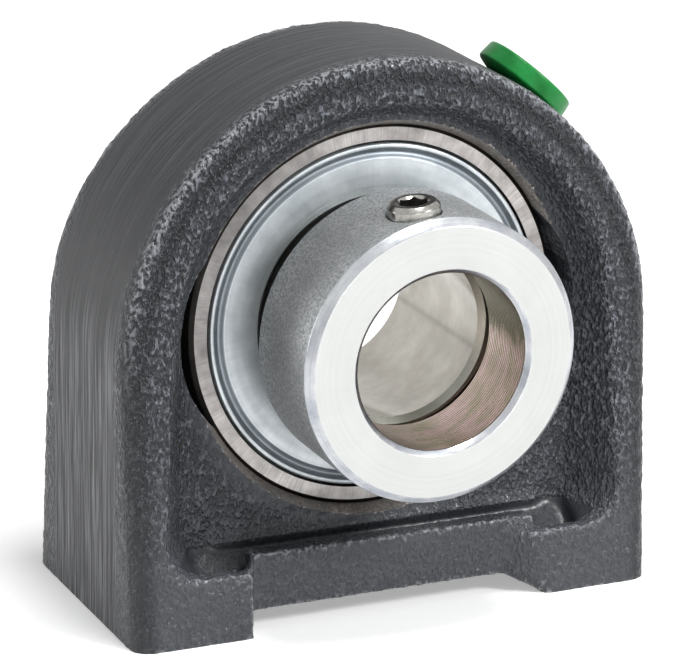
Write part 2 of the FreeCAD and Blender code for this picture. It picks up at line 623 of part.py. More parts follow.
# Grease plug: a soft moulded disc whose stem keeps dirt out of the grease hole.
STEM_RADIUS = "(Sizes.grease_hole_diameter / 2 - Sizes.plug_clearance)"
HEAD_RADIUS = "(Sizes.plug_head_diameter / 2)"
HEAD_TOP = "(Sizes.plug_taper_height + Sizes.plug_head_thickness)"
plug = new_body("grease_plug", bearing_centre=False)
turned(plug, "plug_moulding", [
    ("0", "-Sizes.plug_stem_length"),
    (f"{STEM_RADIUS} - Sizes.plug_taper_height", "-Sizes.plug_stem_length"),
    (STEM_RADIUS, "Sizes.plug_taper_height - Sizes.plug_stem_length"),
    (STEM_RADIUS, "0"),
    ("Sizes.plug_foot_diameter / 2", "0"),
    (HEAD_RADIUS, "Sizes.plug_taper_height"),
    (f"{HEAD_RADIUS} - Sizes.plug_head_draft", HEAD_TOP),
    ("0", HEAD_TOP),
], role="XZ_Plane")
PLUG_SEAT = f"({FACE_REACH} + Sizes.plug_clearance)"
plug.Placement.Rotation = FreeCAD.Rotation(FreeCAD.Vector(0, 1, 0), value("Sizes.grease_angle"))
plug.setExpression(".Placement.Rotation.Angle", "Sizes.grease_angle * 1deg")
plug.setExpression(".Placement.Base.x", f"{PLUG_SEAT} * sin({GREASE})")
plug.setExpression(".Placement.Base.z", f"{CENTRE} + {PLUG_SEAT} * cos({GREASE})")

doc.recompute()

faults = [item.Name for item in doc.Objects if {"Invalid", "Error"} & set(item.State)]
for node in NODES:
    if node.Shape.isNull() or not node.Shape.isValid() or len(node.Shape.Solids) != 1:
        faults.append(f"{node.Label}: {len(node.Shape.Solids)} solids")
if faults:
    raise RuntimeError("not built: " + ", ".join(faults))

os.makedirs("parts", exist_ok=True)
for node in NODES:
    node.Shape.exportStep(f"parts/{node.Label}.step")
    box = node.Shape.BoundBox
    print(f"{node.Label}: {node.Shape.Volume:.1f} mm3, y {box.YMin:.2f} to {box.YMax:.2f}")
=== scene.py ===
import json
import math

import bmesh
import bpy
import numpy
from mathutils import Matrix, Vector, noise


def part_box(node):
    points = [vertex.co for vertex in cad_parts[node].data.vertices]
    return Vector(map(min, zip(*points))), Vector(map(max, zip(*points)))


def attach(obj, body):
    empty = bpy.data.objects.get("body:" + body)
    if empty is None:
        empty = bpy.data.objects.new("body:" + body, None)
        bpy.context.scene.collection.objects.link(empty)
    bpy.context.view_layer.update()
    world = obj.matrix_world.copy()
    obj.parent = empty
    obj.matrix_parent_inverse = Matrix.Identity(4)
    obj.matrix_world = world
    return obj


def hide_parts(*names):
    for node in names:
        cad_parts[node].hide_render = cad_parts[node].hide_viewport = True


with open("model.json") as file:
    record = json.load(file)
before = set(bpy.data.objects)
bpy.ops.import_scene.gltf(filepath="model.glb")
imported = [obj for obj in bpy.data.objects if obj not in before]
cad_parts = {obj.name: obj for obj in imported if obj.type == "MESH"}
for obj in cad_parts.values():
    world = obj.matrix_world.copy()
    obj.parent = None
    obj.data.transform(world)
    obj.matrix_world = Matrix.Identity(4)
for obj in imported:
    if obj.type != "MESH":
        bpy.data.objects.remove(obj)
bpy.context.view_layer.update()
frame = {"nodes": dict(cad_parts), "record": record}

# The casting is grey iron, poured in sand with its arch, feet and bars in one piece, and painted.
# The outside of the arch is ground on a belt before painting. The seat, the filling slots, the
# tapped holes and the underside are machined into the casting and stay bare.
MM = 0.001
mounts = {mount["name"]: mount for mount in frame["record"]["mounts"]}
shaft_height = mounts["shaft_bore"]["pos_m"][2]
bolt_reach = mounts["base_bolts"]["dims"]["spacing_x_mm"] * MM / 2
tapping_radius = mounts["base_bolts"]["dims"]["hole_r_mm"] * MM
thread_radius = 4.0 * MM
thread_pitch = 1.25 * MM
thread_depth = 15.0 * MM
housing_low, housing_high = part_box("housing")
arch_radius = 32.4 * MM
arch_height = 31.4 * MM
side_draft = math.radians(0.25)
crown_half_depth = 10.3 * MM
edge_rounding = 2.2 * MM
belt_half_width = 9.6 * MM
web_half_depth = 8.5 * MM
seat_radius = 23.55 * MM
seat_end = 7.2 * MM
lead_in_radius = 23.22 * MM
lead_in_end = 8.6 * MM
grease_groove = (1.5 * MM, 24.15 * MM)
slot_reach = 24.4 * MM
slot_cutter_radius = 14.8 * MM
grease_angle = math.radians(42.3)
grease_hole_radius = 2.5 * MM
grease_face_radius = 6.5 * MM
grease_face_reach = arch_radius - (shaft_height - arch_height) * math.cos(grease_angle) - 0.3 * MM
machining_allowance = 1.6 * MM
casting_voxel = 0.4 * MM
casting_smoothing = 16


def turned(profile, place, steps=160):
    """A closed profile of (radius, height) turned about its own upright axis, then put in place."""
    solid = bmesh.new()
    rings = []
    for radius, height in profile:
        turns = [2 * math.pi * step / steps for step in range(steps if radius > 0 else 1)]
        rings.append([solid.verts.new((radius * math.cos(turn), radius * math.sin(turn), height))
                      for turn in turns])
    for ring, following in zip(rings, rings[1:] + rings[:1]):
        for step in range(steps):
            after = (step + 1) % steps
            corners = [ring[step % len(ring)], ring[after % len(ring)],
                       following[after % len(following)], following[step % len(following)]]
            corners = list(dict.fromkeys(corners))
            if len(corners) > 2:
                solid.faces.new(corners)
    bmesh.ops.recalc_face_normals(solid, faces=solid.faces)
    solid.transform(place)
    return solid


def boxed(low, high):
    """A closed box between two corners."""
    solid = bmesh.new()
    middle = (Vector(low) + Vector(high)) / 2
    size = Vector(high) - Vector(low)
    place = Matrix.Translation(middle) @ Matrix.Diagonal((*size, 1))
    bmesh.ops.create_cube(solid, size=1, matrix=place)
    return solid


def work_object(solid):
    mesh = bpy.data.meshes.new("work")
    solid.to_mesh(mesh)
    solid.free()
    item = bpy.data.objects.new("work", mesh)
    bpy.context.scene.collection.objects.link(item)
    return item


def result_of(item, *others):
    """The mesh of a work object with its modifiers applied; the work objects are removed."""
    bpy.context.view_layer.update()
    solid = bmesh.new()
    solid.from_object(item, bpy.context.evaluated_depsgraph_get())
    for used in (item, *others):
        mesh = used.data
        bpy.data.objects.remove(used)
        bpy.data.meshes.remove(mesh)
    return solid


def combined(solid, tool, operation):
    """The solid cut by the tool, or joined with it."""
    item = work_object(solid)
    other = work_object(tool)
    modifier = item.modifiers.new("combine", "BOOLEAN")
    modifier.object = other
    modifier.operation = operation
    modifier.solver = "MANIFOLD"
    return result_of(item, other)


def absorb(solid, other):
    """Adds the faces of another closed solid to this one."""
    mesh = bpy.data.meshes.new("work")
    other.to_mesh(mesh)
    other.free()
    solid.from_mesh(mesh)
    bpy.data.meshes.remove(mesh)


def piece_of(name, solid, body, nodes, finishes, choose=None, crease=32):
    """A piece of the object, smooth between its edges; choose gives a face's finish by number."""
    mesh = bpy.data.meshes.new(name)
    solid.to_mesh(mesh)
    solid.free()
    for finish in finishes:
        mesh.materials.append(finish)
    for face in mesh.polygons:
        face.use_smooth = True
        face.material_index = choose(face.center, face.normal) if choose else 0
    mesh.set_sharp_from_angle(angle=math.radians(crease))
    piece = bpy.data.objects.new(name, mesh)
    bpy.context.scene.collection.objects.link(piece)
    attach(piece, body)
    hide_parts(*nodes)
    return piece


facing_front = Matrix.Translation((0, 0, shaft_height)) @ Matrix.Rotation(math.radians(90), 4, "X")
grease_way = (Matrix.Translation((0, 0, shaft_height))
              @ Matrix.Rotation(grease_angle, 4, "Y"))

# The blank: the casting with its machined openings still closed and its underside not yet milled.
blank = bmesh.new()
blank.from_mesh(frame["nodes"]["housing"].data)
bmesh.ops.remove_doubles(blank, verts=blank.verts, dist=0.001 * MM)
blank.normal_update()
underside = [face for face in blank.faces
             if face.normal.z < -0.99 and face.calc_center_median().z < 0.01 * MM]
grown = bmesh.ops.extrude_face_region(blank, geom=underside)["geom"]
bmesh.ops.translate(blank, verts=[item for item in grown if isinstance(item, bmesh.types.BMVert)],
                    vec=(0, 0, -machining_allowance))
bmesh.ops.delete(blank, geom=[face for face in underside if face.is_valid], context="FACES_ONLY")


def cylinder(radius, low, high, place):
    return turned([(0, low), (radius, low), (radius, high), (0, high)], place)


def bar_of(section, half_length):
    """A closed bar along X with a given (y, z) section."""
    solid = bmesh.new()
    ends = [[solid.verts.new((end, *corner)) for corner in section] for end in (-half_length, half_length)]
    for end in ends:
        solid.faces.new(end)
    for index in range(len(section)):
        after = (index + 1) % len(section)
        solid.faces.new((ends[0][index], ends[0][after], ends[1][after], ends[1][index]))
    bmesh.ops.recalc_face_normals(solid, faces=solid.faces)
    return solid


# A small flare stands out of each web face over the trough, and a slope fills the trough's inner
# side. Plugs close the openings that are machined later.
flare_top = 10.3 * MM
flare_low = 8.9 * MM
flare_reach = 0.9 * MM
flare_root = 0.5 * MM
flare_half_length = 20.5 * MM
ramp_half_length = 27.0 * MM
ramp_top = (8.2 * MM, 8.9 * MM)
ramp_foot = (12.9 * MM, 5.0 * MM)
ramp_back = 5.5 * MM
ramp_low = 4.0 * MM
for side in (-1, 1):
    flare = [(side * (web_half_depth - flare_root), flare_low), (side * web_half_depth, flare_top),
             (side * (web_half_depth + flare_reach), flare_low)]
    absorb(blank, bar_of(flare, flare_half_length))
    ramp = [(ramp_back, ramp_low), (ramp_back, ramp_top[1]), ramp_top, ramp_foot, (ramp_foot[0], ramp_low)]
    absorb(blank, bar_of([(side * along, height) for along, height in ramp], ramp_half_length))
closing = 0.6 * MM
plug_top = thread_depth + closing
absorb(blank, cylinder(seat_radius + closing, -web_half_depth, web_half_depth, facing_front))
absorb(blank, cylinder(grease_hole_radius + closing, seat_radius, grease_face_reach, grease_way))
for side in (-1, 1):
    absorb(blank, cylinder(tapping_radius + closing, -machining_allowance, plug_top,
                           Matrix.Translation((side * bolt_reach, 0, 0))))
blank_object = work_object(blank)
skin = blank_object.modifiers.new("skin", "REMESH")
skin.mode = "VOXEL"
skin.voxel_size = casting_voxel
soften = blank_object.modifiers.new("soften", "SMOOTH")
soften.factor = 0.5
soften.iterations = casting_smoothing
casting = result_of(blank_object)

# The belt leaves a band that wanders at its edges and fades out. It cuts only the outer skin.
band_wander = 1.3 * MM
band_fade = 1.6 * MM
belt_reach = 1.5 * MM


def belt_place(spot):
    """(way round the arch, depth, how much of the belt-ground band) of a point, in millimetres."""
    if spot.z > arch_height:
        reach = math.hypot(spot.x, spot.z - arch_height)
        way = arch_radius * math.atan2(spot.x, spot.z - arch_height)
    else:
        reach = abs(spot.x) + (arch_height - spot.z) * math.tan(side_draft)
        way = math.copysign(arch_radius * math.pi / 2 + arch_height - spot.z, spot.x)
    share = spot.z / housing_high.z
    half_depth = housing_high.y * (1 - share) + crown_half_depth * share
    past_flat = abs(spot.y) - half_depth + edge_rounding
    inward = arch_radius - reach
    if past_flat < 0:
        across = past_flat
    elif inward < edge_rounding:
        across = edge_rounding * math.atan2(past_flat, edge_rounding - inward)
    else:
        across = edge_rounding * math.pi / 2 + inward - edge_rounding
    wander = band_wander * noise.noise(Vector((way / MM / 5, math.copysign(7, spot.y), 0)))
    ground = min(belt_half_width + wander, half_depth - edge_rounding) - abs(spot.y)
    band = min(max(ground / band_fade + 0.6, 0), 1) if inward < belt_reach else 0
    return Vector((way / MM, across / MM, band))


def swell(across, height, middle, width):
    """A rounded hump across the casting's edge."""
    return height * math.exp(-((across - middle) / width) ** 2)


trough_top = 9.0 * MM
trough_front = 13.6 * MM
trough_half_length = 27.0 * MM


def pool_and_shade(spot):
    """1 in the trough under each web face, where the paint ran together smoothly; its darker tone there is
    painted shade.
    """
    behind_bar = web_half_depth + 0.2 * MM < abs(spot.y) < trough_front
    return 1.0 if behind_bar and spot.z < trough_top and abs(spot.x) < trough_half_length else 0.0


# The relief of the sand, as lumps of (size, height). On the arch the edge is a rolled ridge with a
# hollow beside it, each given by height, middle and width. These lengths are in millimetres.
lumps = ((6.0, 0.02), (2.4, 0.03), (1.1, 0.07), (0.62, 0.11))
edge_ridge = (0.24, 1.5, 0.6)
edge_hollow = (0.26, 3.6, 0.9)
ridge_end = 42.0
ridge_fade = 8.0
streak_length = 7.0
streak_width = 0.8
streak_height = 0.03
belt_calm = 0.9
pool_calm = 0.8
blank_low = housing_low - Vector((0, 0, machining_allowance))
casting.normal_update()
for vertex in casting.verts:
    spot = vertex.co / MM
    way, across, band = belt_place(vertex.co)
    rough = sum(height * noise.noise(spot / size) for size, height in lumps)
    rough *= (1 - belt_calm * band) * (1 - pool_calm * pool_and_shade(vertex.co))
    arched = min(max((ridge_end - abs(way)) / ridge_fade + 1, 0), 1)
    edge = arched * (swell(across, *edge_ridge) - swell(across, *edge_hollow))
    streak = streak_height * noise.noise(Vector((way / streak_length, spot.y / streak_width, 0)))
    vertex.co += vertex.normal * ((rough + edge * (1 - band) + streak * band) * MM)
    for axis in range(3):
        vertex.co[axis] = min(max(vertex.co[axis], blank_low[axis]), housing_high[axis])

# The machined openings, cut out of the blank.
mill_reach = 2 * arch_radius
casting = combined(casting, boxed((-mill_reach, -mill_reach, -mill_reach),
                                  (mill_reach, mill_reach, 0)), "DIFFERENCE")
seat_edge = math.sqrt(seat_radius ** 2 - seat_end ** 2)
groove_half, groove_radius = grease_groove
seat_turn = math.asin(seat_end / seat_radius)
groove_turn = math.asin(groove_half / seat_radius)
seat_steps = 7
seat_arc = [seat_turn + (groove_turn - seat_turn) * step / seat_steps for step in range(seat_steps + 1)]
seat_side = [(seat_radius * math.cos(turn), seat_radius * math.sin(turn)) for turn in seat_arc]
seat_half = [(0, mill_reach), (lead_in_radius, mill_reach), (lead_in_radius, lead_in_end),
             *seat_side, (groove_radius, groove_half)]
casting = combined(casting, turned(seat_half + [(radius, -along) for radius, along in seat_half[::-1]],
                                   facing_front, steps=240), "DIFFERENCE")
for side in (-1, 1):
    slot_place = Matrix.Translation((side * (slot_reach - slot_cutter_radius), 0, 0)) @ facing_front
    casting = combined(casting, turned([(0, 0), (slot_cutter_radius, 0), (slot_cutter_radius, mill_reach),
                                        (0, mill_reach)], slot_place, steps=120), "DIFFERENCE")
casting = combined(casting, cylinder(grease_hole_radius, 0, 2 * grease_face_reach, grease_way),
                   "DIFFERENCE")
casting = combined(casting, cylinder(grease_face_radius, grease_face_reach, 2 * grease_face_reach,
                                     grease_way), "DIFFERENCE")
thread = [(0, -thread_pitch), (thread_radius + thread_pitch, -thread_pitch)]
for turn in range(int(thread_depth / thread_pitch)):
    thread += [(thread_radius, turn * thread_pitch), (tapping_radius, (turn + 0.5) * thread_pitch)]
thread += [(tapping_radius, thread_depth), (0, thread_depth + tapping_radius / 2)]
for side in (-1, 1):
    hole_place = Matrix.Translation((side * bolt_reach, 0, 0))
    casting = combined(casting, turned(thread, hole_place, steps=48), "DIFFERENCE")


def add(tree, kind, inputs=None, **settings):
    """A shader node; inputs gives each socket, by name or number, a value or an output."""
    node = tree.nodes.new("ShaderNode" + kind)
    for name, setting in settings.items():
        setattr(node, name, setting)
    for socket, given in (inputs or {}).items():
        if isinstance(given, bpy.types.NodeSocket):
            tree.links.new(given, node.inputs[socket])
        else:
            node.inputs[socket].default_value = given
    return node


def reckon(tree, operation, *values):
    return add(tree, "Math", dict(enumerate(values)), operation=operation).outputs[0]


def product(tree, first, *others):
    for other in others:
        first = reckon(tree, "MULTIPLY", first, other)
    return first


def spread(tree, value, low, high, to_low=0.0, to_high=1.0):
    """The value moved from one range to another, and held inside it."""
    node = add(tree, "MapRange", {"Value": value, "From Min": low, "From Max": high,
                                  "To Min": to_low, "To Max": to_high}, clamp=True)
    return node.outputs["Result"]


def tint(tree, share, first, second):
    """Two colours mixed; a colour is a triple or an output."""
    colours = [colour if isinstance(colour, bpy.types.NodeSocket) else (*colour, 1)
               for colour in (first, second)]
    return add(tree, "Mix", {0: share, 6: colours[0], 7: colours[1]}, data_type="RGBA").outputs[2]


def cloud(tree, place, scale, detail=2.0, roughness=0.5):
    return add(tree, "TexNoise", {"Vector": place, "Scale": scale, "Detail": detail,
                                  "Roughness": roughness}).outputs["Fac"]


def stretched(tree, place, size):
    return add(tree, "VectorMath", {0: place, 1: size}, operation="MULTIPLY").outputs[0]


def new_finish(name, **sockets):
    """A material, its tree, its shader and the place on the piece in millimetres."""
    material = bpy.data.materials.new(name)
    material.use_nodes = True
    tree = material.node_tree
    shader = tree.nodes["Principled BSDF"]
    for socket, setting in sockets.items():
        shader.inputs[socket.replace("_", " ")].default_value = setting
    place = add(tree, "VectorMath", {0: add(tree, "TexCoord").outputs["Object"], "Scale": 1 / MM},
                operation="SCALE").outputs[0]
    return material, tree, shader, place


def raise_surface(tree, shader, height, distance, strength=1.0):
    bump = add(tree, "Bump", {"Height": height, "Distance": distance, "Strength": strength})
    tree.links.new(bump.outputs[0], shader.inputs["Normal"])


def new_group(name, inputs, outputs):
    """A shader node group with its sockets; returns it with its own inputs and outputs."""
    group = bpy.data.node_groups.new(name, "ShaderNodeTree")
    for title, kind in inputs:
        group.interface.new_socket(title, in_out="INPUT", socket_type="NodeSocket" + kind)
    for title, kind in outputs:
        group.interface.new_socket(title, in_out="OUTPUT", socket_type="NodeSocket" + kind)
    return group, group.nodes.new("NodeGroupInput").outputs, group.nodes.new("NodeGroupOutput").inputs


def use(tree, group, inputs):
    node = tree.nodes.new("ShaderNodeGroup")
    node.node_tree = group
    for socket, given in inputs.items():
        if isinstance(given, bpy.types.NodeSocket):
            tree.links.new(given, node.inputs[socket])
        else:
            node.inputs[socket].default_value = given
    return node.outputs


# Small round marks scattered over a surface: pits, rust spots and dust.
marks, given, made = new_group("scattered_marks",
                               [("Place", "Vector"), ("Spacing", "Float"), ("Radius", "Float"),
                                ("Share", "Float")], [("Mask", "Float")])
uneven = add(marks, "TexNoise", {"Vector": given["Place"], "Scale": 2.5}).outputs["Color"]
shifted = add(marks, "VectorMath", {0: given["Place"], 1: uneven}, operation="ADD").outputs[0]
cells = add(marks, "TexVoronoi", {"Vector": shifted,
                                  "Scale": reckon(marks, "DIVIDE", 1.0, given["Spacing"])})
across = reckon(marks, "MULTIPLY", cells.outputs["Distance"], given["Spacing"])
chosen = reckon(marks, "LESS_THAN",
                add(marks, "SeparateColor", {0: cells.outputs["Color"]}).outputs[0], given["Share"])
inside = reckon(marks, "SUBTRACT", 1.0, reckon(marks, "DIVIDE", across, given["Radius"]))
marks.links.new(reckon(marks, "MULTIPLY", spread(marks, inside, 0.0, 0.6), chosen), made["Mask"])

# Marks of turning or grinding about the shaft: rings that keep their radius and depth, and rays.
shaft_marks, given, made = new_group("shaft_marks", [("Place", "Vector"), ("Fineness", "Float")],
                                     [("Rings", "Float"), ("Rays", "Float"), ("Radius", "Float")])
centred = add(shaft_marks, "VectorMath", {0: given["Place"], 1: (0, 0, -shaft_height / MM)},
              operation="ADD").outputs[0]
flat = stretched(shaft_marks, centred, (1, 0, 1))
radius = add(shaft_marks, "VectorMath", {0: flat}, operation="LENGTH").outputs["Value"]
depth = add(shaft_marks, "SeparateXYZ", {0: centred}).outputs[1]
ring_place = add(shaft_marks, "CombineXYZ", {0: radius, 1: depth}).outputs[0]
shaft_marks.links.new(add(shaft_marks, "TexNoise", {"Vector": ring_place, "Scale": given["Fineness"],
                                                    "Detail": 3.0}).outputs["Fac"], made["Rings"])
ray_place = add(shaft_marks, "VectorMath", {0: flat}, operation="NORMALIZE").outputs[0]
ray_scale = reckon(shaft_marks, "MULTIPLY", given["Fineness"], 14.0)
shaft_marks.links.new(add(shaft_marks, "TexNoise", {"Vector": ray_place, "Scale": ray_scale,
                                                    "Detail": 3.0}).outputs["Fac"], made["Rays"])
shaft_marks.links.new(radius, made["Radius"])

# The paint: grain on the sand-cast faces with painted shade in its hollows and painted glints on its peaks,
# calmer on the feet and next to the seat, smooth and given painted shade in the trough, and fine streaks
# along the belt on the ground band.
paint, tree, shader, place = new_finish("slate_paint", Specular_IOR_Level=0.36)
# Of these colours the darkest is painted shade for hollows, the pale blue-grey a painted glint, the palest
# a painted highlight on edges, and the trough's colour painted shade.
hollow_shade = (0.012, 0.013, 0.016)
slate = (0.039, 0.042, 0.049)
low_slate = (0.054, 0.058, 0.066)
glint_tone = (0.155, 0.165, 0.19)
edge_highlight = (0.33, 0.34, 0.365)
trough_shade = (0.030, 0.032, 0.037)
pit_dark = (0.016, 0.015, 0.015)
rust = (0.14, 0.075, 0.04)
streak_dark = (0.010, 0.011, 0.013)
streak_light = (0.25, 0.256, 0.268)
calm_top = 7.0
lively_from = 20.0
belt = add(tree, "SeparateXYZ", {0: add(tree, "Attribute", attribute_name="belt").outputs["Vector"]})
way_round, across, belt_share = belt.outputs
bend = add(tree, "Attribute", attribute_name="bend").outputs["Fac"]
pool_and_shade_share = add(tree, "Attribute", attribute_name="pool_and_shade_share").outputs["Fac"]
spot = add(tree, "SeparateXYZ", {0: place})
along_depth = spot.outputs[1]
above_base = spot.outputs[2]
upright = spread(tree, reckon(tree, "ABSOLUTE", way_round), 44.0, 54.0)
arched = reckon(tree, "SUBTRACT", 1.0, upright)

# The grain's hollows get painted shade and its peaks painted glints, which come and go in patches.
coarse = cloud(tree, stretched(tree, place, (1, 1, 0.65)), 2.3, 1.5, 0.5)
fine = cloud(tree, stretched(tree, place, (1, 1, 0.6)), 4.2, 1)
grain = reckon(tree, "ADD", product(tree, coarse, 0.75), product(tree, fine, 0.25))
patches = spread(tree, cloud(tree, place, 0.13, 3), 0.3, 0.7, 0.5, 1.0)
from_shaft = use(tree, shaft_marks, {"Place": place, "Fineness": 1.0})["Radius"]
calm = product(tree, spread(tree, from_shaft, 23.6, 26.0, 0.3, 1.0), spread(tree, pool_and_shade_share, 0.0, 1.0, 1.0, 0.1))
lively = product(tree, calm, spread(tree, above_base, calm_top, lively_from, 0.22, 1.0))
painted_glints = product(tree, spread(tree, grain, 0.53, 0.62), lively, patches)
grain_shade = product(tree, spread(tree, grain, 0.47, 0.39), lively, 0.85)
cast_tone = tint(tree, spread(tree, above_base, calm_top, lively_from), low_slate, slate)
cast_tone = tint(tree, grain_shade, cast_tone, hollow_shade)
cast_tone = tint(tree, painted_glints, cast_tone, glint_tone)

# Ridges of the relief get a painted highlight, and its hollows painted shade. So do the rolled edge of the
# arch and the hollow beside it. The upright edges get only painted shade.
crest = product(tree, spread(tree, bend, 0.05, 0.17), spread(tree, grain, 0.42, 0.55), 0.9)
cast_tone = tint(tree, crest, cast_tone, edge_highlight)
cast_tone = tint(tree, spread(tree, bend, -0.12, -0.32, 0.0, 0.8), cast_tone, hollow_shade)
ridge = product(tree, spread(tree, across, 0.4, 1.0), spread(tree, across, 2.2, 1.6), arched,
                spread(tree, grain, 0.46, 0.54), 0.7)
cast_tone = tint(tree, ridge, cast_tone, edge_highlight)
hollow = product(tree, spread(tree, across, 2.2, 3.0), spread(tree, across, 4.6, 3.8), arched)
edge_shade = product(tree, spread(tree, across, -0.6, 0.6), spread(tree, across, 4.4, 3.0), upright)
cast_tone = tint(tree, product(tree, reckon(tree, "ADD", hollow, edge_shade), 0.75), cast_tone, hollow_shade)
# The trough's darker tone is painted shade in the recess.
cast_tone = tint(tree, pool_and_shade_share, cast_tone, trough_shade)

# The streaks of the belt are faint and held dark on the arch, as painted shade, and strong and lighter on
# the upright sides, as painted light.
drifting = reckon(tree, "ADD", along_depth, cloud(tree, place, 0.09, 2))
belt_vector = add(tree, "CombineXYZ", {0: way_round, 1: drifting}).outputs[0]
streaks = cloud(tree, stretched(tree, belt_vector, (0.05, 2.3, 1)), 1.0, 3, 0.7)
bands = cloud(tree, stretched(tree, belt_vector, (0.05, 0.5, 1)), 1.0, 2)
streaks_and_side_light = product(tree, spread(tree, streaks, 0.45, 0.61), spread(tree, bands, 0.3, 0.7, 0.45, 1.0),
                      spread(tree, upright, 0.0, 1.0, 0.18, 1.0))
ground_tone = tint(tree, streaks_and_side_light, streak_dark, streak_light)

# Pits and rust spots lie over both. The relief bites deeper higher up.
pits = use(tree, marks, {"Place": place, "Spacing": 5.0, "Radius": 0.34, "Share": 0.3})["Mask"]
spots = use(tree, marks, {"Place": stretched(tree, place, (1.1, 0.9, 1)), "Spacing": 9.0,
                          "Radius": 0.3, "Share": 0.2})["Mask"]
colour = tint(tree, belt_share, cast_tone, ground_tone)
colour = tint(tree, pits, colour, pit_dark)
colour = tint(tree, spots, colour, rust)
tree.links.new(colour, shader.inputs["Base Color"])
sheen = spread(tree, grain, 0.4, 0.6, 0.4, 0.25)
tree.links.new(add(tree, "Mix", {0: belt_share, 2: sheen, 3: 0.5}).outputs[0], shader.inputs["Roughness"])
bite = spread(tree, above_base, 8.0, 30.0, 0.13, 0.34)
cast_relief = product(tree, spread(tree, grain, 0.38, 0.61), reckon(tree, "SUBTRACT", 1.0, belt_share),
                      calm, bite)
relief = reckon(tree, "ADD", cast_relief, product(tree, streaks, belt_share, 0.14))
relief = reckon(tree, "SUBTRACT", relief, product(tree, pits, 0.12))
raise_surface(tree, shader, relief, MM)

# The machined faces of the casting are stained, with the rings of the cutter in the seat.
bare_iron, tree, shader, place = new_finish("machined_iron", Metallic=0.6)
made = use(tree, shaft_marks, {"Place": place, "Fineness": 6.0})
stain = cloud(tree, place, 0.5, 4)
crumbs = cloud(tree, place, 3.2, 3, 0.6)
share = product(tree, spread(tree, stain, 0.35, 0.65, 0.4, 1.0), spread(tree, crumbs, 0.35, 0.65))
tree.links.new(tint(tree, share, (0.20, 0.182, 0.17), (0.50, 0.46, 0.43)), shader.inputs["Base Color"])
tree.links.new(spread(tree, stain, 0.3, 0.7, 0.55, 0.4), shader.inputs["Roughness"])
raise_surface(tree, shader, made["Rings"], 0.04 * MM)
flat_match = 0.02 * MM
round_match = 0.04 * MM
thread_match = 0.1 * MM


def casting_finish(centre, normal):
    """Machined where the face lies on the underside, in a tapped hole or in the seat."""
    if centre.z < flat_match:
        return 1
    along = abs(centre.y)
    if along < groove_half:
        cut_radius = groove_radius
    elif along < seat_end:
        cut_radius = math.sqrt(seat_radius ** 2 - along ** 2)
    else:
        slope = (lead_in_radius - seat_edge) / (lead_in_end - seat_end)
        cut_radius = min(seat_edge + slope * (along - seat_end), lead_in_radius)
    out = math.hypot(centre.x, centre.z - shaft_height)
    if abs(out - cut_radius) < round_match:
        return 1
    if abs(along - groove_half) < flat_match and out < groove_radius:
        return 1
    near_bolt = math.hypot(abs(centre.x) - bolt_reach, centre.y) < thread_radius + thread_match
    return 1 if near_bolt and centre.z < thread_depth + tapping_radius else 0


housing = piece_of("cast_housing", casting, "housing_body", ["housing"],
                   [paint, bare_iron], casting_finish, crease=50)
belt_layer = housing.data.attributes.new("belt", "FLOAT_VECTOR", "POINT")
for vertex, entry in zip(housing.data.vertices, belt_layer.data):
    entry.vector = belt_place(vertex.co)


def bends(mesh):
    """How far each point stands out from its neighbours: over 0 on a ridge, under 0 in a hollow."""
    points = len(mesh.vertices)
    spots = numpy.empty((points, 3), dtype=numpy.float32)
    outward = numpy.empty((points, 3), dtype=numpy.float32)
    ends = numpy.empty((len(mesh.edges), 2), dtype=numpy.int32)
    mesh.vertices.foreach_get("co", spots.ravel())
    mesh.vertices.foreach_get("normal", outward.ravel())
    mesh.edges.foreach_get("vertices", ends.ravel())
    first, second = ends[:, 0], ends[:, 1]
    ways = spots[second] - spots[first]
    ways /= numpy.maximum(numpy.linalg.norm(ways, axis=1, keepdims=True), 1e-9)
    near = numpy.bincount(ends.ravel(), minlength=points)
    total = numpy.bincount(second, (outward[second] * ways).sum(1), points)
    total -= numpy.bincount(first, (outward[first] * ways).sum(1), points)
    standing = total / near
    around = numpy.bincount(first, standing[second], points)
    around += numpy.bincount(second, standing[first], points)
    return ((standing + around / near) / 2).astype(numpy.float32)


bend_layer = housing.data.attributes.new("bend", "FLOAT", "POINT")
bend_layer.data.foreach_set("value", bends(housing.data))
pool_and_shade_layer = housing.data.attributes.new("pool_and_shade_share", "FLOAT", "POINT")
for vertex, entry in zip(housing.data.vertices, pool_and_shade_layer.data):
    entry.value = pool_and_shade(vertex.co)

# The insert's outer ring is bearing steel, hardened, ground to a sphere outside and flat on its
# faces. It sits in the casting's seat and tilts there to follow the shaft.
ring_half_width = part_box("outer_ring")[1].y
insert_radius = 23.5 * MM
seal_radius = 20.5 * MM
seal_seat_depth = 4.9 * MM
shoulder_radius = 19.35 * MM
ring_chamfer = 0.4 * MM
outer_groove_middle = 16.74 * MM
outer_groove_radius = 4.17 * MM


def steel(name, dark, light, roughness, fineness=5.0, rays=0.0, depth=0.01 * MM, patch=0.35, even=0.45):
    """Bare steel in patches of two tones, with lines of its machining that keep the even share."""
    material, tree, shader, place = new_finish(name, Metallic=1.0)
    made = use(tree, shaft_marks, {"Place": place, "Fineness": fineness})
    lines = add(tree, "Mix", {0: rays, 2: made["Rings"], 3: made["Rays"]}).outputs[0]
    patches = cloud(tree, place, patch, 4, 0.6)
    share = product(tree, spread(tree, patches, 0.3, 0.7), spread(tree, lines, 0.3, 0.7, even, 1.0))
    tree.links.new(tint(tree, share, dark, light), shader.inputs["Base Color"])
    tree.links.new(spread(tree, lines, 0.3, 0.7, roughness * 1.25, roughness * 0.8),
                   shader.inputs["Roughness"])
    raise_surface(tree, shader, lines, depth)
    return material


ground_face = steel("ground_ring_face", (0.25, 0.235, 0.228), (0.60, 0.57, 0.556), 0.42,
                    fineness=8.0, rays=1.0)
# The sphere's steel is made nearly black: painted shade for the ring's outside, which lies in the shadow of
# the seat and slots.
sphere_painted_shade = steel("sphere_painted_shade", (0.04, 0.037, 0.034), (0.09, 0.083, 0.076), 0.4, fineness=6.0)


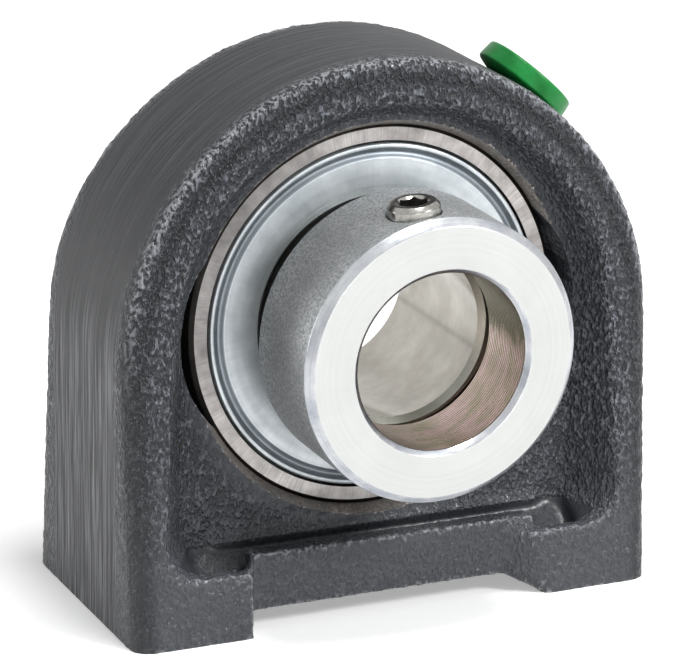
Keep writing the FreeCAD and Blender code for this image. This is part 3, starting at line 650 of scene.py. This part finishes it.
def rounded(points, radius, steps=4):
    """A closed profile with each corner marked True in its third place rounded off."""
    result = []
    for index, (across, along, *soft) in enumerate(points):
        here = Vector((across, along))
        if not soft:
            result.append(tuple(here))
            continue
        before = Vector(points[index - 1][:2])
        after = Vector(points[(index + 1) % len(points)][:2])
        start = here + (before - here).normalized() * min(radius, (before - here).length / 2)
        end = here + (after - here).normalized() * min(radius, (after - here).length / 2)
        for step in range(steps + 1):
            share = step / steps
            result.append(tuple(start * (1 - share) ** 2 + here * 2 * share * (1 - share)
                                + end * share ** 2))
    return result


def arc(centre_radius, centre_along, radius, start, end, steps):
    """Points of an arc, from one angle to the other, in degrees."""
    turns = [math.radians(start + (end - start) * step / steps) for step in range(steps + 1)]
    return [(centre_radius + radius * math.cos(turn), centre_along + radius * math.sin(turn))
            for turn in turns]


edge_end = ring_half_width - ring_chamfer
edge_turn = math.degrees(math.asin(edge_end / insert_radius))
face_radius = math.sqrt(insert_radius ** 2 - ring_half_width ** 2) - ring_chamfer
groove_turn = math.degrees(math.acos((shoulder_radius - outer_groove_middle) / outer_groove_radius))
outer_ring_profile = [
    (seal_radius, ring_half_width), (seal_radius, seal_seat_depth),
    (shoulder_radius, seal_seat_depth),
    *arc(outer_groove_middle, 0, outer_groove_radius, groove_turn, -groove_turn, 16),
    (shoulder_radius, -seal_seat_depth), (seal_radius, -seal_seat_depth),
    (seal_radius, -ring_half_width), (face_radius, -ring_half_width),
    *arc(0, 0, insert_radius, -edge_turn, edge_turn, 16), (face_radius, ring_half_width),
]
piece_of("insert_outer_ring", turned(outer_ring_profile, facing_front, steps=240), "insert_body",
         ["outer_ring"], [sphere_painted_shade, ground_face],
         lambda centre, normal: 1 if abs(normal.y) > 0.8 else 0)

# The seals: at each side a pressed inner shield, a rubber lip and a zinc-plated outer shield,
# all held in the groove of the outer ring. Only the outer shield shows.
zinc_shield = steel("zinc_plate", (0.44, 0.475, 0.50), (0.74, 0.775, 0.795), 0.52,
                    fineness=3.0, rays=0.3, depth=0.006 * MM, patch=0.22)
zinc_trough_shade = steel("zinc_trough_painted_shade", (0.24, 0.27, 0.295), (0.36, 0.39, 0.42), 0.5,
                    fineness=3.0, depth=0.006 * MM, patch=0.22)
shield_low, shield_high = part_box("front_outer_shield")
shield_face = -shield_low.y
shield_foot = -shield_high.y
shield_bore = 14.45 * MM
shield_sheet = 0.45 * MM
trough_middle = 19.1 * MM
trough_half = 0.68 * MM
trough_depth = 0.45 * MM
rim_radius = 20.14 * MM
rim_round = 0.1 * MM


def shield_finish(centre, normal):
    """The trough gets a darker finish than the plate beside it: painted shade in the groove."""
    from_axis = math.hypot(centre.x, centre.z - shaft_height)
    return 1 if abs(from_axis - trough_middle) < 0.85 * trough_half else 0


for side, facing in (("front", 1), ("back", -1)):
    trough = [(trough_middle + trough_half * across,
               shield_face - trough_depth / 2 * (1 + math.cos(math.pi * across)))
              for across in (step / 8 for step in range(-8, 9))]
    shield_profile = [(shield_bore, shield_face), *trough, (rim_radius - rim_round, shield_face),
                      (rim_radius, shield_face - rim_round),
                      (rim_radius, shield_foot + shield_sheet),
                      (seal_radius, shield_foot),
                      (trough_middle - trough_half - shield_sheet, shield_foot),
                      (trough_middle - trough_half - shield_sheet, shield_face - 2 * shield_sheet),
                      (shield_bore, shield_face - shield_sheet)]
    placed = Matrix.Scale(facing, 4, (0, 1, 0)) @ facing_front
    shield = turned(shield_profile, placed, steps=240)
    bmesh.ops.recalc_face_normals(shield, faces=shield.faces)
    piece_of(f"{side}_shield", shield, "insert_body", [f"{side}_outer_shield"],
             [zinc_shield, zinc_trough_shade], shield_finish, crease=60)

rubber, tree, shader, place = new_finish("seal_rubber", Base_Color=(0.012, 0.012, 0.013, 1))
tree.links.new(spread(tree, cloud(tree, place, 2.0, 3), 0.3, 0.7, 0.45, 0.65), shader.inputs["Roughness"])
raise_surface(tree, shader, cloud(tree, place, 6.0, 3), 0.01 * MM)
plain_sheet = steel("plain_sheet", (0.3, 0.3, 0.3), (0.5, 0.5, 0.5), 0.35)


def refinish(node, material):
    """Gives a node of the frame its finish."""
    mesh = frame["nodes"][node].data
    mesh.materials.clear()
    mesh.materials.append(material)


for side in ("front", "back"):
    refinish(f"{side}_inner_shield", plain_sheet)
    refinish(f"{side}_seal_lip", rubber)

# The balls are hardened chrome steel, polished. The cage is a crown moulded from polyamide
# with glass fibre, snapped over the balls from the back.
ball_steel = steel("polished_ball", (0.72, 0.72, 0.73), (0.82, 0.82, 0.83), 0.07,
                   fineness=1.0, depth=0.001 * MM)
polyamide, tree, shader, place = new_finish("moulded_polyamide")
fibres = cloud(tree, stretched(tree, place, (1, 5, 1)), 2.2, 3)
tree.links.new(tint(tree, fibres, (0.34, 0.29, 0.19), (0.52, 0.46, 0.33)), shader.inputs["Base Color"])
tree.links.new(spread(tree, fibres, 0.3, 0.7, 0.5, 0.38), shader.inputs["Roughness"])
raise_surface(tree, shader, fibres, 0.02 * MM)
for node in frame["nodes"]:
    if node.startswith("ball_"):
        refinish(node, ball_steel)
refinish("cage", polyamide)

# The inner ring is bearing steel with a ground bore for the shaft. Its long front end carries
# the eccentric land that the locking collar grips.
inner_low, inner_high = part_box("inner_ring")
bore_radius = mounts["shaft_bore"]["dims"]["r_mm"] * MM
inner_radius = 13.8 * MM
pitch_radius = 16.75 * MM
ball_reach = 3.989 * MM
inner_groove_radius = 4.09 * MM
inner_groove_middle = pitch_radius - ball_reach + inner_groove_radius
land_radius = 12.3 * MM
land_length = 4.0 * MM
eccentric_turn = math.radians(22)
land_shift = Vector((-math.sin(eccentric_turn), 0, math.cos(eccentric_turn))) * MM
bore_chamfer = 0.7 * MM
front_end = -inner_low.y
back_end = -inner_high.y
land_start = front_end - land_length
groove_turn = math.degrees(math.acos((inner_groove_middle - inner_radius) / inner_groove_radius))
inner_profile = [
    (0, back_end), (inner_radius - ring_chamfer, back_end), (inner_radius, back_end + ring_chamfer),
    *arc(inner_groove_middle, 0, inner_groove_radius, 180 + groove_turn, 180 - groove_turn, 12),
    (inner_radius, land_start - ring_chamfer), (inner_radius - ring_chamfer, land_start),
    (0, land_start),
]
inner_ring = turned(inner_profile, facing_front, steps=200)
land_place = Matrix.Translation(land_shift) @ facing_front
land_edge = 0.3 * MM
land_root = land_start - MM
inner_ring = combined(inner_ring, turned([(0, land_root), (land_radius, land_root),
                                          (land_radius, front_end - land_edge),
                                          (land_radius - land_edge, front_end), (0, front_end)],
                                         land_place, steps=200), "UNION")
bore_tool = [(0, back_end - MM), (bore_radius + bore_chamfer + MM, back_end - MM),
             (bore_radius, back_end + bore_chamfer), (bore_radius, front_end - bore_chamfer),
             (bore_radius + bore_chamfer + MM, front_end + MM), (0, front_end + MM)]
inner_ring = combined(inner_ring, turned(bore_tool, facing_front, steps=200), "DIFFERENCE")
bore_steel = steel("ground_bore", (0.24, 0.222, 0.19), (0.56, 0.54, 0.49), 0.16,
                   fineness=3.0, depth=0.0008 * MM, patch=0.09, even=0.85)
end_steel = steel("ring_end", (0.30, 0.31, 0.28), (0.46, 0.46, 0.42), 0.35)


def inner_finish(centre, normal):
    """The ground bore, or the rest."""
    from_axis = math.hypot(centre.x, centre.z - shaft_height)
    return 0 if from_axis < bore_radius + 0.05 * MM else 1


piece_of("insert_inner_ring", inner_ring, "shaft_body", ["inner_ring"],
         [bore_steel, end_steel], inner_finish)

# The locking collar is turned steel, tumbled and phosphated outside, with its front face and its
# bore turned bright. Its recess at the back fits over the eccentric land.
collar_low, collar_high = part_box("locking_collar")
collar_radius = (collar_high.x - collar_low.x) / 2
collar_front = -collar_low.y
collar_back = -collar_high.y
collar_bore = bore_radius + 0.15 * MM
collar_chamfer = 0.9 * MM
collar_bore_chamfer = 0.6 * MM
collar_recess = 4.1 * MM
recess_radius = land_radius + 0.1 * MM
screw_radius = 3.0 * MM
screw_inset = 4.6 * MM
screw_lean = math.radians(-7)
screw_clearance = 0.05 * MM
hole_mouth = 0.35 * MM
edge_break = 0.12 * MM
collar_profile = [
    (collar_bore, collar_back), (collar_radius - ring_chamfer, collar_back),
    (collar_radius, collar_back + ring_chamfer), (collar_radius, collar_front - collar_chamfer, True),
    (collar_radius - collar_chamfer, collar_front, True),
    (collar_bore + collar_bore_chamfer, collar_front, True),
    (collar_bore, collar_front - collar_bore_chamfer, True),
]
collar = turned(rounded(collar_profile, edge_break), facing_front, steps=240)
collar = combined(collar, cylinder(recess_radius, collar_back - MM, collar_back + collar_recess,
                                   land_place), "DIFFERENCE")
screw_place = (Matrix.Translation((0, screw_inset - collar_front, shaft_height))
               @ Matrix.Rotation(screw_lean, 4, "Y"))
hole_radius = screw_radius + screw_clearance
screw_hole = [(0, 0), (hole_radius, 0), (hole_radius, collar_radius - hole_mouth),
              (hole_radius + 2 * hole_mouth, collar_radius + hole_mouth),
              (hole_radius + 2 * hole_mouth, collar_radius + MM), (0, collar_radius + MM)]
collar = combined(collar, turned(screw_hole, screw_place, steps=64), "DIFFERENCE")

collar_side, tree, shader, place = new_finish("phosphated_steel", Metallic=0.9)
mottle = cloud(tree, place, 3.2, 2, 0.55)
wash = cloud(tree, stretched(tree, place, (1, 0.6, 1)), 0.25, 2)
share = product(tree, spread(tree, mottle, 0.40, 0.60), spread(tree, wash, 0.3, 0.7, 0.5, 1.0))
tree.links.new(tint(tree, share, (0.31, 0.325, 0.335), (0.68, 0.695, 0.70)), shader.inputs["Base Color"])
tree.links.new(spread(tree, mottle, 0.3, 0.7, 0.6, 0.42), shader.inputs["Roughness"])
raise_surface(tree, shader, mottle, 0.02 * MM)
collar_face = steel("turned_face", (0.53, 0.54, 0.53), (0.58, 0.59, 0.58), 0.45,
                    fineness=3.5, depth=0.001 * MM, patch=0.12, even=0.8)
collar_edge = steel("turned_chamfer", (0.34, 0.36, 0.40), (0.70, 0.71, 0.72), 0.26,
                    fineness=3.5, depth=0.002 * MM, patch=0.3)

# The bore keeps the fine thread-like line of its turning tool, pinkish below and darker olive above, the
# olive a painted reflection of dark surroundings.
collar_inside, tree, shader, place = new_finish("turned_bore", Metallic=1.0)
feed = 0.4
spot = add(tree, "SeparateXYZ", {0: place})
waver = product(tree, cloud(tree, place, 0.4, 2), 3.0)
turns = reckon(tree, "ADD", product(tree, spot.outputs[1], 2 * math.pi / feed), waver)
lines = reckon(tree, "ADD", product(tree, reckon(tree, "SINE", turns), 0.5), 0.5)
shimmer = cloud(tree, stretched(tree, place, (0.6, 1.6, 0.6)), 0.55, 2)
# Above the shaft's middle the tone turns dark olive: a painted reflection.
above = reckon(tree, "SUBTRACT", spot.outputs[2], shaft_height / MM)
upper_reflection = reckon(tree, "ADD", above, product(tree, shimmer, 8.0))
ridge_tone = tint(tree, spread(tree, shimmer, 0.32, 0.66), (0.46, 0.41, 0.30), (0.74, 0.54, 0.53))
ridge_tone = tint(tree, spread(tree, upper_reflection, 4.2, 5.6), ridge_tone, (0.25, 0.235, 0.165))
valley_tone = tint(tree, 0.4, ridge_tone, (0.13, 0.115, 0.085))
tree.links.new(tint(tree, lines, valley_tone, ridge_tone), shader.inputs["Base Color"])
tree.links.new(spread(tree, lines, 0.0, 1.0, 0.3, 0.2), shader.inputs["Roughness"])
raise_surface(tree, shader, lines, 0.012 * MM)


def collar_finish(centre, normal):
    """The bright face, its chamfers, the bore with its recess, or the side."""
    from_axis = math.hypot(centre.x, centre.z - shaft_height)
    if centre.y < -collar_front + collar_chamfer * 1.05 and from_axis > collar_bore + 0.02 * MM:
        return 1 if normal.y < -0.95 else 3
    return 2 if from_axis < recess_radius + 0.6 * MM else 0


piece_of("eccentric_collar", collar, "collar_body", ["locking_collar"],
         [collar_side, collar_face, collar_inside, collar_edge], collar_finish)

# The set screw is hardened steel, bright, with a hexagon socket and a dished top. It is screwed
# into the collar and stands a little proud of it.
screw_top = collar_radius + 1.2 * MM
screw_foot = screw_top - 6.4 * MM
screw_pitch = 1.0 * MM
screw_root = 2.6 * MM
screw_crest = screw_radius - 0.03 * MM
screw_edge = 0.5 * MM
crest_rise = 0.45
socket_width = 3.0 * MM
socket_depth = 3.2 * MM
dish_radius = 0.62 * socket_width
dish_depth = 0.3 * MM
screw_profile = [(0, screw_foot), (screw_root - screw_edge, screw_foot)]
first_turn = screw_foot + screw_edge / 2
for turn in range(int((screw_top - screw_foot - screw_edge) / screw_pitch)):
    screw_profile += [(screw_root, first_turn + turn * screw_pitch),
                      (screw_crest, first_turn + (turn + crest_rise) * screw_pitch)]
screw_profile += [(screw_crest, screw_top - screw_edge, True),
                  (screw_radius - screw_edge, screw_top, True),
                  (dish_radius, screw_top, True), (socket_width / 2, screw_top - dish_depth),
                  (0, screw_top - dish_depth)]
screw = turned(rounded(screw_profile, 0.1 * MM, 3), screw_place, steps=120)
corner = socket_width / math.sqrt(3)
socket = [(0, screw_top - socket_depth), (corner, screw_top - socket_depth),
          (corner, screw_top + MM), (0, screw_top + MM)]
screw = combined(screw, turned(socket, screw_place, steps=6), "DIFFERENCE")
screw_steel = steel("bright_screw", (0.22, 0.215, 0.20), (0.60, 0.59, 0.555), 0.2,
                    fineness=3.0, depth=0.002 * MM, patch=0.6)
piece_of("collar_screw", screw, "screw_body", ["set_screw"], [screw_steel])

# The grease plug is a soft green moulded disc on a short stem that is pushed into the hole. Its
# top has the small round mark of its mould.
plug_seat = grease_face_reach + 0.06 * MM
plug_radius = 6.0 * MM
plug_height = 2.75 * MM
plug_lip = 0.6 * MM
plug_foot = 4.2 * MM
plug_stem = 6.5 * MM
stem_radius = grease_hole_radius - 0.06 * MM
stem_taper = 0.6 * MM
head_draft = 0.24 * MM
mark_radius = 0.7 * MM
mark_depth = 0.25 * MM
plug_profile = [
    (0, -plug_stem), (stem_radius - stem_taper, -plug_stem, True),
    (stem_radius, -plug_stem + stem_taper, True), (stem_radius, 0), (plug_foot, 0),
    (plug_radius, plug_lip, True), (plug_radius - head_draft, plug_height, True),
    (1.6 * mark_radius, plug_height - mark_depth), (mark_radius, plug_height - mark_depth),
    (0.7 * mark_radius, plug_height), (0, plug_height),
]
plug_place = grease_way @ Matrix.Translation((0, 0, plug_seat))
green, tree, shader, place = new_finish("green_polyethylene", Subsurface_Weight=0.15,
                                        Subsurface_Scale=0.8 * MM, Specular_IOR_Level=0.25)
shader.inputs["Subsurface Radius"].default_value = (0.3, 1.0, 0.4)
bloom = cloud(tree, place, 0.35, 3)
tree.links.new(tint(tree, spread(tree, bloom, 0.3, 0.7), (0.004, 0.15, 0.024), (0.014, 0.27, 0.055)),
               shader.inputs["Base Color"])
tree.links.new(spread(tree, bloom, 0.3, 0.7, 0.3, 0.42), shader.inputs["Roughness"])
raise_surface(tree, shader, cloud(tree, place, 1.6, 3), 0.02 * MM)
piece_of("hole_plug", turned(rounded(plug_profile, 0.35 * MM, 5), plug_place, steps=120), "plug_body",
         ["grease_plug"], [green])

# The studio: a white floor that keeps the shadow and is clear from below, white surroundings and
# soft lamps.
floor_reach = 20
floor_glow = 0.35
floor_mesh = bpy.data.meshes.new("floor")
floor_corners = [(-floor_reach, -floor_reach, 0), (floor_reach, -floor_reach, 0),
                 (floor_reach, floor_reach, 0), (-floor_reach, floor_reach, 0)]
floor_mesh.from_pydata(floor_corners, [], [(0, 1, 2, 3)])
floor = bpy.data.objects.new("floor", floor_mesh)
bpy.context.scene.collection.objects.link(floor)


def background_share(tree):
    """1 on rays that should meet a white background: seen, mirrored or sent through."""
    rays = add(tree, "LightPath")
    mirrored = reckon(tree, "MAXIMUM", rays.outputs["Is Glossy Ray"], rays.outputs["Is Transmission Ray"])
    return reckon(tree, "MAXIMUM", rays.outputs["Is Camera Ray"], mirrored)


floor_paint = bpy.data.materials.new("floor_white")
floor_paint.use_nodes = True
tree = floor_paint.node_tree
shader = tree.nodes["Principled BSDF"]
shader.inputs["Base Color"].default_value = (0.9, 0.9, 0.9, 1)
shader.inputs["Roughness"].default_value = 1.0
shader.inputs["Specular IOR Level"].default_value = 0.0
lift = add(tree, "Emission", {"Strength": product(tree, background_share(tree), floor_glow)})
both = add(tree, "AddShader", {0: shader.outputs[0], 1: lift.outputs[0]})
from_below = add(tree, "MixShader", {0: add(tree, "NewGeometry").outputs["Backfacing"], 1: both.outputs[0],
                                     2: add(tree, "BsdfTransparent").outputs[0]})
tree.links.new(from_below.outputs[0], tree.nodes["Material Output"].inputs["Surface"])
floor_mesh.materials.append(floor_paint)

world = bpy.data.worlds.new("studio")
bpy.context.scene.world = world
world.use_nodes = True
tree = world.node_tree
background = tree.nodes["Background"]
room_light = 0.28
tree.links.new(spread(tree, background_share(tree), 0.0, 1.0, room_light, 1.0),
               background.inputs["Strength"])
background.inputs["Color"].default_value = (1, 1, 1, 1)

lamps = [("front_right", (0.42, -0.5, 0.5), 0.22, 4.2), ("overhead", (0.05, -0.15, 0.75), 0.2, 3.2),
         ("back_left", (-0.65, 0.4, 0.06), 0.35, 1.8), ("low_front", (-0.1, -0.85, 0.12), 0.4, 1.0)]
subject = Vector((0, 0, shaft_height))
for name, spot, size, power in lamps:
    lamp = bpy.data.lights.new(name, "AREA")
    lamp.shape = "DISK"
    lamp.size = size
    lamp.energy = power
    holder = bpy.data.objects.new(name, lamp)
    holder.location = spot
    holder.rotation_euler = (subject - Vector(spot)).to_track_quat("-Z", "Y").to_euler()
    bpy.context.scene.collection.objects.link(holder)

# The camera stands where the photograph was taken from: left of the front and a little above. Its
# lens and shift are fitted to the object's outlines and circles.
camera_azimuth = math.radians(-25.0)
camera_elevation = math.radians(18.3)
camera_roll = math.radians(1.32)
camera_distance = 433.85 * MM
camera_target = Vector((-1.93, -5.27, 29.46)) * MM
focal_pixels = 3812.26
image_width = 700
sensor_width = 36.0
shift_pixels = (-1.41, 10.59)
back = Vector((math.sin(camera_azimuth) * math.cos(camera_elevation),
               -math.cos(camera_azimuth) * math.cos(camera_elevation), math.sin(camera_elevation)))
camera = bpy.data.cameras.new("camera")
camera.sensor_width = sensor_width
camera.lens = sensor_width * focal_pixels / image_width
camera.shift_x = shift_pixels[0] / image_width
camera.shift_y = shift_pixels[1] / image_width
holder = bpy.data.objects.new("camera", camera)
level = back.to_track_quat("Z", "Y").to_matrix().to_4x4()
holder.matrix_world = (Matrix.Translation(camera_target + back * camera_distance) @ level
                       @ Matrix.Rotation(camera_roll, 4, "Z"))
bpy.context.scene.collection.objects.link(holder)
bpy.context.scene.camera = holder
bpy.context.scene.view_settings.view_transform = "Standard"
